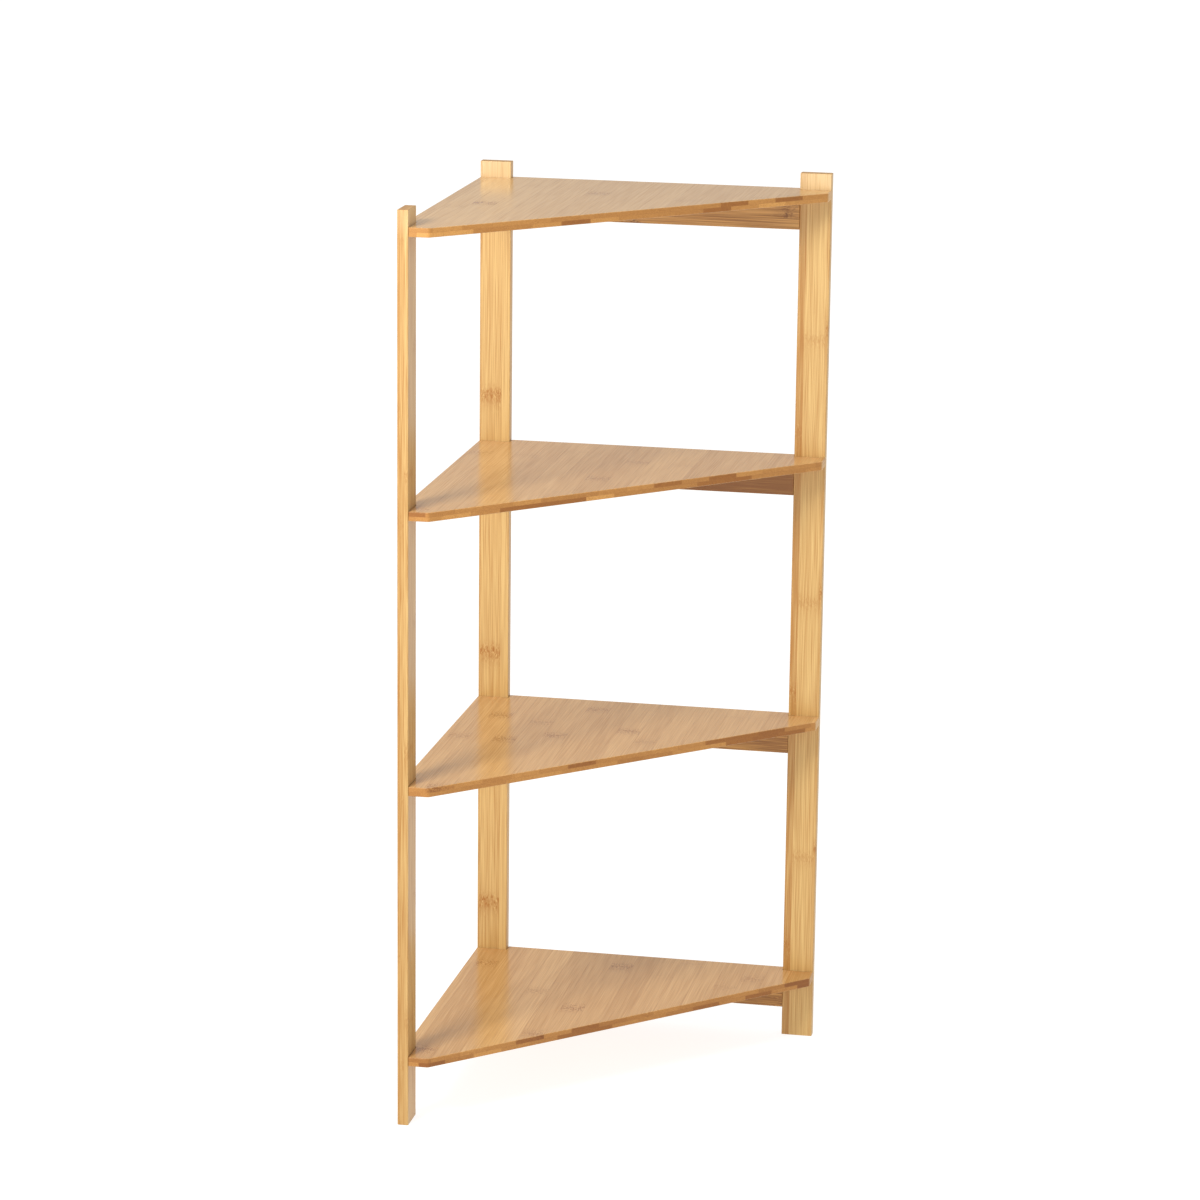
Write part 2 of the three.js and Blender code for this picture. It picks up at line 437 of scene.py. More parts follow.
def new_material(name):
    """(material, graph, shader) with a shader that is linked to the material's output."""
    material = bpy.data.materials.new(name)
    material.use_nodes = True
    material.node_tree.nodes.clear()
    graph = Graph(material.node_tree)
    shader = graph.add("ShaderNodeBsdfPrincipled")
    graph.add("ShaderNodeOutputMaterial", {"Surface": shader.outputs[0]})
    return material, graph, shader


# Bamboo: the size of each of its marks, across and along the grain

FINE_FIBRE_MM = (0.9, 60.0)
MIDDLING_FIBRE_MM = (1.6, 55.0)
DARK_LINE_MM = (1.2, 90.0)
BROAD_STREAK_MM = (6.0, 260.0)
NODE_DASH_MM = (1.3, 4.5)
NODE_SPECK_MM = (1.2, 5.0)
FIBRE_BUNDLE_MM = (0.95, 130.0)
DRIFT_MM = 2.5
NODE_SWERVE_MM = 4.0
NODE_WAVER_MM = 9.0
NODE_RING_MM = 2.0
NODE_HAZE_MM = 14.0
NODE_HAZE_SHIFT_MM = 4.0
SEAM_EDGE_MM = (0.05, 0.60)
# Painted light: the heights along a post's grain where its top end is painted paler, as if it were more
# brightly lit
PAINTED_TOP_LIGHT_MM = (965.0, 988.0)

# Noises: how fast they run per millimetre, and slices of the noise that are used by one mark only
DRIFT_PER_MM = 0.008
WAVER_PER_MM = 0.30
KNOT_PER_MM = (0.5, 0.5, 0.2)
SEAM_PER_MM = 0.03
SCUFF_PER_MM = (0.4, 1.0, 0.09)
WAVER_SLICE = 3.0
SEAM_SLICE = 9.0
DEPTH_SPREAD = 2.0

# Where the noises turn from nothing into a full mark
DARK_LINE_RANGE = (0.56, 0.72)
NODE_DASH_RANGE = (0.46, 0.60)
NODE_SPECK_RANGE = (0.60, 0.70)
PORE_RANGE = (0.10, 0.34)
SEAM_RANGE = (0.45, 0.62)
SCUFF_RANGE = (0.45, 0.70)
CUT_RANGE = (0.05, 0.45)
FAINT_SEAM = 0.25

# How strongly each mark shows in the colour
BROAD_STRENGTH = 0.25
MIDDLING_STRENGTH = 1.5
FINE_STRENGTH = 2.4
LINE_STRENGTH = 0.28
HAZE_STRENGTH = 0.35
RING_STRENGTH = 0.4
DASH_STRENGTH = 0.95
SPECK_STRENGTH = 0.7
PORE_STRENGTH = 0.12
CUT_PORE_STRENGTH = 0.5
SEAM_STRENGTH = 0.5
SCUFF_STRENGTH = 0.35
# Painted light on the posts' top ends: how pale they are painted, how much the dark lines hold it back, and
# how much less the narrow sides get
PAINTED_TOP_LIGHT_STRENGTH = 0.60
PAINTED_TOP_LIGHT_LINE_LOSS = 0.3
PAINTED_TOP_LIGHT_SIDE_LOSS = 0.7

# What it does to the roughness and, in millimetres, to the relief
FINE_ROUGHNESS = 0.12
SCUFF_ROUGHNESS = 0.10
FINE_RELIEF_MM = 0.010
MIDDLING_RELIEF_MM = 0.012
PORE_RELIEF_MM = 0.012
SEAM_RELIEF_MM = 0.03
DASH_RELIEF_MM = 0.03


def strip_marks(g):
    """What mark_strips has written, the glue lines, and a place in the noise for each strip."""
    across, depth, along = g.attribute("grain")
    tone, node_height, place = g.attribute("lamella")
    across_low, across_high, node_strength = g.attribute("seams_across")
    depth_low, depth_high, soak = g.attribute("seams_depth")
    rounded, endness, sideness = g.attribute("finish")
    gap_across = g.math("MINIMUM", g.minus(across, across_low), g.minus(across_high, across))
    gap_depth = g.math("MINIMUM", g.minus(depth, depth_low), g.minus(depth_high, depth))
    gap = g.math("MINIMUM", gap_across, gap_depth)
    stretch = g.noise(g.vector(place, g.times(along, SEAM_PER_MM), SEAM_SLICE))
    seam = g.times(g.ramp(gap, *SEAM_EDGE_MM, 1.0, 0.0), g.ramp(stretch, *SEAM_RANGE, FAINT_SEAM, 1.0))
    return SimpleNamespace(
        x=g.plus(across, place), y=g.plus(depth, g.times(place, DEPTH_SPREAD)), along=along,
        tone=tone, place=place, node_height=node_height, node_strength=node_strength, soak=soak,
        rounded=rounded, endness=endness, sideness=sideness, seam=seam)


def node_marks(g, given, strip):
    """The ring of a node, the band round it and the haze beside it."""
    half = INTERNODE_MM / 2
    from_node = g.math("WRAP", g.minus(strip.along, strip.node_height), half, -half)
    waver = g.noise(g.vector(g.times(strip.x, WAVER_PER_MM), g.times(strip.y, WAVER_PER_MM), WAVER_SLICE))
    from_ring = g.plus(from_node, g.sway(waver, NODE_WAVER_MM))
    from_haze = g.plus(from_ring, NODE_HAZE_SHIFT_MM)
    return SimpleNamespace(
        ring=g.times(g.bell(from_ring, NODE_RING_MM), strip.node_strength),
        band=g.times(g.bell(from_ring, given["Node"]), strip.node_strength),
        haze=g.times(g.bell(from_haze, NODE_HAZE_MM), strip.node_strength))


def fibre_marks(g, given, strip, node):
    """Fibres run straight, drift a little, and are disturbed at the nodes."""
    drift = g.noise(g.vector(strip.place, g.times(strip.along, DRIFT_PER_MM), 0.0), detail=1.0)
    knot = g.noise(g.scaled((strip.x, strip.y, strip.along), KNOT_PER_MM))
    swerve = g.plus(g.sway(drift, DRIFT_MM), g.sway(knot, g.times(node.band, NODE_SWERVE_MM)))
    fibre_x = g.plus(strip.x, swerve)

    def place(width_mm, length_mm):
        across = g.math("DIVIDE", fibre_x, width_mm)
        deep = g.math("DIVIDE", strip.y, width_mm)
        return g.vector(across, deep, g.math("DIVIDE", strip.along, length_mm))

    def fibres(width_mm, length_mm):
        """Streaks as wide as the wood's own fibres ask for."""
        return g.noise(place(g.times(given["Fibre"], width_mm), length_mm), detail=0.0)

    def streaks(width_mm, length_mm):
        return g.noise(place(width_mm, length_mm), detail=1.0)

    scuffs = g.noise(g.scaled((strip.x, strip.y, strip.along), SCUFF_PER_MM), detail=3.0)
    dashes = g.ramp(streaks(*NODE_DASH_MM), *NODE_DASH_RANGE)
    return SimpleNamespace(
        fine=fibres(*FINE_FIBRE_MM),
        middling=fibres(*MIDDLING_FIBRE_MM),
        broad=streaks(*BROAD_STREAK_MM),
        lines=g.ramp(fibres(*DARK_LINE_MM), *DARK_LINE_RANGE),
        dashes=g.times(node.band, dashes),
        specks=g.times(node.haze, g.ramp(streaks(*NODE_SPECK_MM), *NODE_SPECK_RANGE)),
        pores=g.ramp(g.cells(place(*FIBRE_BUNDLE_MM)), *PORE_RANGE, 1.0, 0.0),
        scuffs=g.times(strip.rounded, g.ramp(scuffs, *SCUFF_RANGE)))


def long_grain_colour(g, given, strip, node, fibre):
    hue = g.plus(g.sway(strip.tone, given["Variety"]), 0.5)
    hue = g.plus(hue, g.sway(fibre.broad, BROAD_STRENGTH))
    streaky = g.plus(g.sway(fibre.middling, MIDDLING_STRENGTH), g.sway(fibre.fine, FINE_STRENGTH))
    hue = g.math("ADD", hue, g.times(streaky, given["Streaks"]), clamp=True)
    wood = g.blend(hue, given["Light"], given["Dark"])
    wood = g.blend(g.times(fibre.lines, LINE_STRENGTH), wood, given["Dark"])
    wood = g.blend(g.times(node.haze, HAZE_STRENGTH), wood, given["Dark"])
    ring = g.times(node.ring, RING_STRENGTH)
    marks = g.math("MAXIMUM", ring, g.times(fibre.dashes, DASH_STRENGTH), clamp=True)
    wood = g.blend(marks, wood, given["Brown"])
    wood = g.blend(g.times(fibre.specks, SPECK_STRENGTH), wood, given["Light"])
    wood = g.blend(g.times(fibre.pores, PORE_STRENGTH), wood, given["Brown"])

    # Painted light: the posts are painted paler and whiter towards their top ends, standing in for the light
    # on the stubs above the top shelf. The dark lines keep some of their colour, and the narrow sides get
    # less of this painted light
    painted_top_light = g.minus(PAINTED_TOP_LIGHT_STRENGTH, g.times(fibre.lines, PAINTED_TOP_LIGHT_LINE_LOSS))
    painted_top_light = g.times(g.ramp(strip.along, *PAINTED_TOP_LIGHT_MM), painted_top_light)
    painted_top_light = g.times(painted_top_light, g.minus(1.0, g.times(strip.sideness, PAINTED_TOP_LIGHT_SIDE_LOSS)))
    return g.blend(painted_top_light, wood, given["Painted top light"])


def bamboo_colour(g, given, strip, node, fibre):
    wood = long_grain_colour(g, given, strip, node, fibre)

    # Cut across the grain, the strips differ more, and the lacquer soaks in and darkens them
    cut = g.ramp(strip.endness, *CUT_RANGE)
    soaked = g.blend(strip.soak, given["Pale cut"], given["Dark cut"])
    wood = g.blend(cut, wood, g.blend(1.0, wood, soaked, kind="MULTIPLY"))
    cut_pores = g.times(g.times(fibre.pores, cut), CUT_PORE_STRENGTH)
    wood = g.blend(cut_pores, wood, given["Brown"])
    wood = g.blend(g.times(strip.seam, SEAM_STRENGTH), wood, given["Brown"])
    return g.blend(g.times(fibre.scuffs, SCUFF_STRENGTH), wood, given["Light"])


def bamboo_roughness(g, given, strip, fibre):
    """Lacquer that sinks a little into the fibres and dries out on the cut sides and ends."""
    rough = g.plus(given["Gloss"], g.sway(fibre.fine, FINE_ROUGHNESS))
    rough = g.plus(rough, g.times(g.plus(strip.endness, strip.sideness), given["Edge"]))
    return g.plus(rough, g.times(fibre.scuffs, SCUFF_ROUGHNESS))


def bamboo_relief(g, strip, fibre):
    height = g.plus(g.times(fibre.fine, FINE_RELIEF_MM), g.times(fibre.middling, MIDDLING_RELIEF_MM))
    height = g.minus(height, g.times(fibre.pores, PORE_RELIEF_MM))
    height = g.minus(height, g.times(strip.seam, SEAM_RELIEF_MM))
    return g.minus(height, g.times(fibre.dashes, DASH_RELIEF_MM))


def bamboo_group():
    """Node group with the colour, roughness and normal of bamboo strips."""
    tree = bpy.data.node_groups.new("bamboo", "ShaderNodeTree")
    # One colour input holds the paler colour that is painted on the posts' top ends as painted light
    inputs = [(name, "Color") for name in ("Light", "Dark", "Brown", "Painted top light", "Pale cut", "Dark cut")]
    inputs += [(name, "Float") for name in ("Gloss", "Variety", "Streaks", "Fibre", "Node", "Edge")]
    for name, kind in inputs:
        tree.interface.new_socket(name, in_out="INPUT", socket_type=f"NodeSocket{kind}")
    for name, kind in (("Color", "Color"), ("Roughness", "Float"), ("Normal", "Vector")):
        tree.interface.new_socket(name, in_out="OUTPUT", socket_type=f"NodeSocket{kind}")
    g = Graph(tree)
    given = g.add("NodeGroupInput").outputs
    strip = strip_marks(g)
    node = node_marks(g, given, strip)
    fibre = fibre_marks(g, given, strip, node)
    out = g.add("NodeGroupOutput")
    g.set(out.inputs["Color"], bamboo_colour(g, given, strip, node, fibre))
    g.set(out.inputs["Roughness"], bamboo_roughness(g, given, strip, fibre))
    g.set(out.inputs["Normal"], g.bump(bamboo_relief(g, strip, fibre)))
    return tree


def bamboo(name, group, **own):
    """A material of the group, with its own colours and numbers for the group's inputs."""
    material, graph, shader = new_material(name)
    wood = graph.add("ShaderNodeGroup", node_tree=group)
    # Pale colour painted on the posts' top ends as painted light
    graph.set(wood.inputs["Painted top light"], colour(0.83, 0.63, 0.36))
    graph.set(wood.inputs["Pale cut"], colour(0.90, 0.74, 0.46))
    graph.set(wood.inputs["Dark cut"], colour(0.44, 0.25, 0.045))
    for word, value in own.items():
        graph.set(wood.inputs[word.capitalize()], value)
    graph.set(shader.inputs["Base Color"], wood.outputs["Color"])
    graph.set(shader.inputs["Roughness"], wood.outputs["Roughness"])
    graph.set(shader.inputs["Normal"], wood.outputs["Normal"])
    return material


def post_bamboo(group):
    return bamboo(
        "bamboo_of_posts", group, gloss=0.38, variety=0.8, streaks=0.55, fibre=0.5, node=7.5, edge=0.05,
        light=colour(0.67, 0.445, 0.165),
        dark=colour(0.40, 0.18, 0.035),
        brown=colour(0.38, 0.15, 0.022))


def shelf_bamboo(group):
    return bamboo(
        "bamboo_of_shelves", group, gloss=0.20, variety=0.5, streaks=0.45, fibre=0.85, node=12.0, edge=0.35,
        light=colour(0.72, 0.44, 0.18),
        dark=colour(0.50, 0.26, 0.08),
        brown=colour(0.30, 0.115, 0.022))


def rail_bamboo(group):
    return bamboo(
        "bamboo_of_rails", group, gloss=0.38, variety=0.8, streaks=0.7, fibre=0.8, node=7.5, edge=0.05,
        light=colour(0.60, 0.32, 0.08),
        dark=colour(0.25, 0.095, 0.012),
        brown=colour(0.16, 0.055, 0.008))


# Steel of the screws and beech of the dowels

STEEL_TURNING_PER_MM = 9.0
STEEL_STAIN_PER_MM = 0.7
STEEL_STAIN_RANGE = (0.35, 0.7)
STEEL_STAIN_ROUGHNESS = 0.2
STEEL_TURNING_ROUGHNESS = 0.22
STEEL_RELIEF_MM = 0.02
BEECH_GRAIN_PER_MM = (1.6, 1.6, 0.06)
BEECH_FLECK_PER_MM = (3.0, 3.0, 0.5)
BEECH_FLECK_RANGE = (0.6, 0.72)
BEECH_FLECK_STRENGTH = 0.6
BEECH_ROUGHNESS = 0.55
BEECH_GRAIN_ROUGHNESS = 0.2
BEECH_RELIEF_MM = 0.05


def own_place_mm(graph):
    """x, y and z in the piece's own coordinates, in millimetres."""
    place = graph.add("ShaderNodeTexCoord").outputs["Object"]
    in_mm = graph.add("ShaderNodeVectorMath", {0: place, "Scale": 1 / MM}, operation="SCALE")
    return graph.split(in_mm.outputs[0])


def steel():
    """Zinc-plated steel with turning marks round the screw's axis."""
    material, graph, shader = new_material("zinc_steel")
    x, y, z = own_place_mm(graph)
    radius = graph.math("SQRT", graph.plus(graph.times(x, x), graph.times(y, y)))
    across = graph.times(radius, STEEL_TURNING_PER_MM)
    turning = graph.noise(graph.vector(across, graph.times(z, STEEL_TURNING_PER_MM), 0.0), detail=1.0)
    stains = graph.noise(graph.scaled((x, y, z), [STEEL_STAIN_PER_MM] * 3), detail=4.0)
    stained = graph.ramp(stains, *STEEL_STAIN_RANGE)
    bright, dull = colour(0.62, 0.62, 0.61), colour(0.42, 0.42, 0.40)
    rough = graph.plus(
        graph.times(stains, STEEL_STAIN_ROUGHNESS), graph.times(turning, STEEL_TURNING_ROUGHNESS))
    graph.set(shader.inputs["Base Color"], graph.blend(stained, bright, dull))
    graph.set(shader.inputs["Roughness"], rough)
    graph.set(shader.inputs["Normal"], graph.bump(graph.times(turning, STEEL_RELIEF_MM)))
    shader.inputs["Metallic"].default_value = 1.0
    return material


def beech():
    """Plain pale wood of the dowels, with short dark flecks along the grain."""
    material, graph, shader = new_material("beech")
    place = own_place_mm(graph)
    grain = graph.noise(graph.scaled(place, BEECH_GRAIN_PER_MM), detail=3.0)
    flecks = graph.noise(graph.scaled(place, BEECH_FLECK_PER_MM), detail=1.0)
    flecks = graph.ramp(flecks, *BEECH_FLECK_RANGE, 0.0, BEECH_FLECK_STRENGTH)
    wood = graph.blend(grain, colour(0.74, 0.55, 0.34), colour(0.58, 0.38, 0.20))
    wood = graph.blend(flecks, wood, colour(0.30, 0.16, 0.08))
    graph.set(shader.inputs["Base Color"], wood)
    rough = graph.plus(graph.times(grain, BEECH_GRAIN_ROUGHNESS), BEECH_ROUGHNESS)
    graph.set(shader.inputs["Roughness"], rough)
    graph.set(shader.inputs["Normal"], graph.bump(graph.times(grain, BEECH_RELIEF_MM)))
    return material


# Boards and laths

X, Y, Z = Vector((1, 0, 0)), Vector((0, 1, 0)), Vector((0, 0, 1))


def shelf_outline():
    """Corners of a shelf and, for the edge that leaves each corner, how much its arris is rounded."""
    low, high = shelves["top"]
    reach = posts["left"][1].x - posts["left"][0].x + SHELF_END_LENGTH
    left, corner, right = (posts[name] for name in POSTS)
    gap = NOTCH_GAP
    outline = []

    def add(x, y, edge_round):
        outline.append((Vector((x, y)), edge_round))

    add(low.x + reach - SHELF_CORNER_RADIUS, low.y, None)
    add(high.x, high.y - reach + SHELF_CORNER_RADIUS, None)
    add(high.x, right[0].y - gap, NOTCH_EASE)
    add(right[0].x - gap, right[0].y - gap, NOTCH_EASE)
    add(right[0].x - gap, high.y, SHELF_EDGE_ROUND)
    add(corner[1].x + gap, high.y, NOTCH_EASE)
    add(corner[1].x + gap, corner[0].y - gap, NOTCH_EASE)
    add(low.x, corner[0].y - gap, SHELF_EDGE_ROUND)
    add(low.x, left[1].y + gap, NOTCH_EASE)
    add(left[1].x + gap, left[1].y + gap, NOTCH_EASE)
    add(left[1].x + gap, low.y, SHELF_EDGE_ROUND)
    return round_blunt_ends(outline, low, high, reach)


def round_blunt_ends(outline, low, high, reach):
    """Replaces the first two corners with the rounded ends of the long slanted edge."""
    front = fillet(Vector((low.x, low.y)), Vector((low.x + reach, low.y)), Vector((high.x, high.y - reach)))
    side = fillet(Vector((low.x + reach, low.y)), Vector((high.x, high.y - reach)), Vector((high.x, high.y)))
    rounded = [(point, SHELF_EDGE_ROUND) for point in front + side]
    return rounded + outline[2:]


def fillet(before, corner, after):
    """Points of the rounded corner between two edges."""
    back = (before - corner).normalized()
    ahead = (after - corner).normalized()
    half = math.acos(back.dot(ahead)) / 2
    start = corner + back * SHELF_CORNER_RADIUS / math.tan(half)
    centre = corner + (back + ahead).normalized() * SHELF_CORNER_RADIUS / math.sin(half)
    first = math.atan2(start.y - centre.y, start.x - centre.x)
    return arc(centre, SHELF_CORNER_RADIUS, first, math.pi - 2 * half, CORNER_STEPS)


def shelf_mesh():
    low, high = shelves["top"]
    outline, rounds = zip(*shelf_outline())
    levels = quarter_round(1.0, ROUND_STEPS)
    thickness = high.z - low.z
    rings = []
    for share, lift in levels:
        ring = inset_outline(outline, [share * edge_round for edge_round in rounds])
        rings.append([Vector((p.x, p.y, lift * SHELF_EDGE_ROUND)) for p in ring])
    rings += [[Vector((p.x, p.y, thickness - p.z)) for p in ring] for ring in reversed(rings)]
    return lofted("shelf", rings)


# What the photograph shows of the boards' lower and upper layers. Strips are counted from the left.
# How dark the board is, where the first glue lines lie, the (height, strength) of the nodes that
# stand out on top, the strips whose cut ends are darkest or palest, and a few strips' own tones
BOARD_TONES = {"top": -0.30, "upper": -0.03, "lower": 0.0, "bottom": 0.28}
BOARD_STARTS_MM = {
    "top": (20.8, 11.3), "upper": (19.5, 4.8), "lower": (25.5, 5.5), "bottom": (23.6, 11.0)}
BOARD_NODES = {
    "top": {2: (191.0, 0.8), 6: (293.0, 0.6)},
    "upper": {1: (316.0, 0.4), 7: (213.0, 0.6), 8: (307.0, 0.5)},
    "lower": {
        1: (213.0, 0.6), 2: (308.0, 0.9), 3: (210.0, 0.9), 4: (287.0, 0.5),
        5: (238.0, 0.7), 6: (356.0, 0.7), 8: (275.0, 0.8), 9: (235.0, 0.4)},
    "bottom": {
        1: (331.0, 0.8), 4: (248.0, 0.5), 5: (104.0, 0.7), 6: (200.0, 1.0),
        7: (352.0, 1.0), 12: (308.0, 0.3), 13: (343.0, 0.5)}}
DARK_CUTS = {
    "top": ((6, 11), (12, 14)), "upper": ((4, 5, 6, 11, 12), (1, 10, 12)),
    "lower": ((12, 13, 14), (7, 12, 13, 14)), "bottom": ((1, 6, 7, 11, 13, 15), (5, 7, 15))}
PALE_CUTS = {"top": ((1, 2, 13), ()), "upper": ((2, 7), ()), "lower": ((), ()), "bottom": ((3,), ())}
DARK_SOAK = 0.9
PALE_SOAK = 0.05
STRIP_TONES = {
    "top": ({}, {}), "upper": ({}, {}), "lower": ({}, {}), "bottom": ({15: 1.4}, {4: 0.15, 15: 1.4})}
FAINT_NODES = 0.25


def board_rows(level, width_mm, chance):
    """Rows of a board's strips, from the underside up."""
    rows = strip_rows(
        width_mm, BOARD_STRIP_MM, BOARD_LAYERS_MM, BOARD_STARTS_MM[level], chance, BOARD_TONES[level])
    layers = zip(rows, DARK_CUTS[level], PALE_CUTS[level], STRIP_TONES[level])
    for (_, _, strips), dark_cuts, pale_cuts, tones in layers:
        for index, (low, high, look) in enumerate(strips):
            soak = look.soak
            if index in dark_cuts:
                soak = DARK_SOAK
            elif index in pale_cuts:
                soak = PALE_SOAK
            tone = tones.get(index, look.tone)
            faint = look.node_strength * FAINT_NODES
            strips[index] = (low, high, look._replace(tone=tone, soak=soak, node_strength=faint))
    upper_strips = rows[-1][2]
    for index, (height, strength) in BOARD_NODES[level].items():
        low, high, look = upper_strips[index]
        upper_strips[index] = (low, high, look._replace(node_height=height, node_strength=strength))
    return rows


def make_shelf(level, material, mesh, chance):
    low, _ = shelves[level]
    piece = new_object(f"board_{level}", mesh.copy())
    piece.data.transform(Matrix.Translation((0, 0, low.z)))
    cut_holes(piece, [screw_hole(screw) for screw in screws_of(level)])
    width_mm = (shelves[level][1].x - low.x) / MM
    mark_strips(piece, low, (X, Z, Y), board_rows(level, width_mm, chance))
    finish_mesh(piece)
    dress(piece, f"shelf_{level}", material)


def lath_mesh(name, size, axes):
    """A lath from the origin, with its size given along its across, depth and along axes."""
    across, depth, along = axes
    rings = []
    for inset, lift in eased_levels(size[2], LATH_END_EASE, EASE_STEPS):
        section = lath_section(size[0], size[1], inset)
        rings.append([across * p.x + depth * p.y + along * lift for p in section])
    return lofted(name, rings)


def make_lath(name, node, axes, holes, rows, material):
    """A post or rail that fills its node's box. Its depth starts at the face towards the room."""
    low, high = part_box(node)
    origin = Vector((high[i] if any(axis[i] < 0 for axis in axes) else low[i] for i in range(3)))
    size = [abs((high - low).dot(axis)) for axis in axes]
    piece = new_object(name, lath_mesh(name, size, axes))
    piece.data.transform(Matrix.Translation(origin))
    cut_holes(piece, holes)
    mark_strips(piece, origin, axes, rows)
    finish_mesh(piece)
    dress(piece, node, material)


# Screws and dowels

def screws_of(level):
    return [f"screw_{post}_{level}_{side}" for post in POSTS for side in "ab"]


def screw_place(node):
    """The middle of the head's face and the direction that it looks in."""
    low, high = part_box(node)
    middle = (low + high) / 2
    if (high - low).x > (high - low).y:
        return Vector((low.x, middle.y, middle.z)), -X
    return Vector((middle.x, high.y, middle.z)), Y


def standing(place, direction):
    """Matrix that turns +Z to the direction and moves the origin to the place."""
    return Matrix.Translation(place) @ direction.to_track_quat("Z", "Y").to_matrix().to_4x4()


def circle(radius, z, sides):
    """A ring of points. The radius is a number or a function of the angle."""
    points = []
    for side in range(sides):
        angle = 2 * math.pi * side / sides
        r = radius(angle) if callable(radius) else radius
        points.append(Vector((r * math.cos(angle), r * math.sin(angle), z)))
    return points


def screw_sizes():
    low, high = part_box("screw_corner_top_a")
    return high.y - low.y, (high.x - low.x) / 2


def screw_hole(node):
    """Cutter for the screw's hole: a countersink, a bore and a mouth past the post's face."""
    length, head = screw_sizes()
    shank = SCREW_DIAMETER / 2
    cone_end = SCREW_HEAD_RIM + head - shank
    profile = [
        (shank + FIT_GAP, -length - FIT_GAP),
        (shank + FIT_GAP, -cone_end),
        (head + FIT_GAP, -SCREW_HEAD_RIM),
        (head + FIT_GAP, OVERRUN)]
    cutter = new_object("hole", lofted("hole", [circle(r, z, HOLE_SIDES) for r, z in profile]))
    cutter.matrix_world = standing(*screw_place(node))
    return cutter


def screw_mesh():
    """Countersunk screw with a hex socket and a rolled thread. Its head's face is at z = 0."""
    length, head = screw_sizes()
    outer = SCREW_DIAMETER / 2
    core = outer * SCREW_CORE_SHARE
    cone_end = SCREW_HEAD_RIM + head - outer
    half_side = math.pi / 6

    def hexagon(extra):
        return lambda angle: (SOCKET_WIDTH / 2 + extra) / math.cos(angle % (2 * half_side) - half_side)

    def thread(z):
        taper = min(1.0, (z + length) / SCREW_TIP_LENGTH)

        def radius(angle):
            turn = (z / THREAD_PITCH + angle / (2 * math.pi)) % 1
            ridge = max(0.0, 1 - abs(turn - 0.5) / (THREAD_WIDTH_SHARE / 2))
            return max(taper, SCREW_TIP_SHARE) * (core + (outer - core) * ridge)
        return radius

    rings = [
        circle(hexagon(0), -SOCKET_DEPTH, SCREW_SIDES),
        circle(hexagon(0), -SOCKET_CHAMFER, SCREW_SIDES),
        circle(hexagon(SOCKET_CHAMFER), 0, SCREW_SIDES),
        circle(head - SCREW_HEAD_EASE, 0, SCREW_SIDES),
        circle(head, -SCREW_HEAD_EASE, SCREW_SIDES),
        circle(head, -SCREW_HEAD_RIM, SCREW_SIDES),
        circle(outer, -cone_end, SCREW_SIDES),
        circle(outer, -SCREW_NECK_LENGTH, SCREW_SIDES)]
    rows = round((length - SCREW_NECK_LENGTH) / THREAD_PITCH * THREAD_STEPS)
    for row in range(1, rows + 1):
        z = -SCREW_NECK_LENGTH - (length - SCREW_NECK_LENGTH) * row / rows
        rings.append(circle(thread(z), z, SCREW_SIDES))
    return lofted("screw", rings)


def make_screws(material):
    mesh = screw_mesh()
    for level in LEVELS:
        for node in screws_of(level):
            piece = new_object(f"wood_{node}", mesh.copy())
            piece.matrix_world = standing(*screw_place(node))
            finish_mesh(piece)
            dress(piece, node, material)


def dowels_of(level):
    return [f"dowel_{end}_{level}_{side}" for end in ("corner", "right") for side in ("low", "high")]


def dowel_hole(node):
    low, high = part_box(node)
    radius = (high.z - low.z) / 2 + FIT_GAP
    reach = (high.x - low.x) / 2 + DOWEL_END_ROOM
    cutter = new_object("hole", lofted("hole", [circle(radius, z, HOLE_SIDES) for z in (-reach, reach)]))
    cutter.matrix_world = standing((low + high) / 2, X)
    return cutter


def dowel_mesh():
    """Dowel with glue flutes along it and chamfered ends."""
    low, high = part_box("dowel_corner_top_low")
    radius = (high.z - low.z) / 2
    reach = (high.x - low.x) / 2

    def fluted(inset):
        def at(angle):
            groove = max(0.0, math.cos(DOWEL_FLUTES * angle)) ** 2
            return radius - inset - DOWEL_FLUTE_DEPTH * groove
        return at

    ends = [(DOWEL_CHAMFER, reach), (0.0, reach - DOWEL_CHAMFER)]
    levels = [(inset, -z) for inset, z in ends] + [(inset, z) for inset, z in reversed(ends)]
    return lofted("dowel", [circle(fluted(inset), z, DOWEL_SIDES) for inset, z in levels])


def make_dowels(material):
    mesh = dowel_mesh()
    for level in LEVELS:
        for node in dowels_of(level):
            low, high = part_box(node)
            piece = new_object(f"fluted_{node}", mesh.copy())
            piece.matrix_world = standing((low + high) / 2, X)
            finish_mesh(piece)
            dress(piece, node, material)


# The strips in the front of the posts and rails follow the photograph: (width, tone, height of one
# node, strength of its nodes), from the left, or from below, as the room sees them. Tones run from
# light to dark. The posts' other strips are darker by INNER_TONES.

def chosen_rows(layers_mm, front_strips, width_mm, offsets_mm, chance, darker=0.0):
    """Rows of a lath's strips, the first of them with strips that are given."""
    rows = strip_rows(width_mm, LATH_STRIP_MM, layers_mm, offsets_mm, chance, darker)
    low = 0.0
    strips = []
    for width, tone, height, strength in front_strips:
        look = strip_look(chance)._replace(tone=tone, node_height=height, node_strength=strength)
        strips.append((low, low + width, look))
        low += width
    return [(rows[0][0], rows[0][1], strips), *rows[1:]]


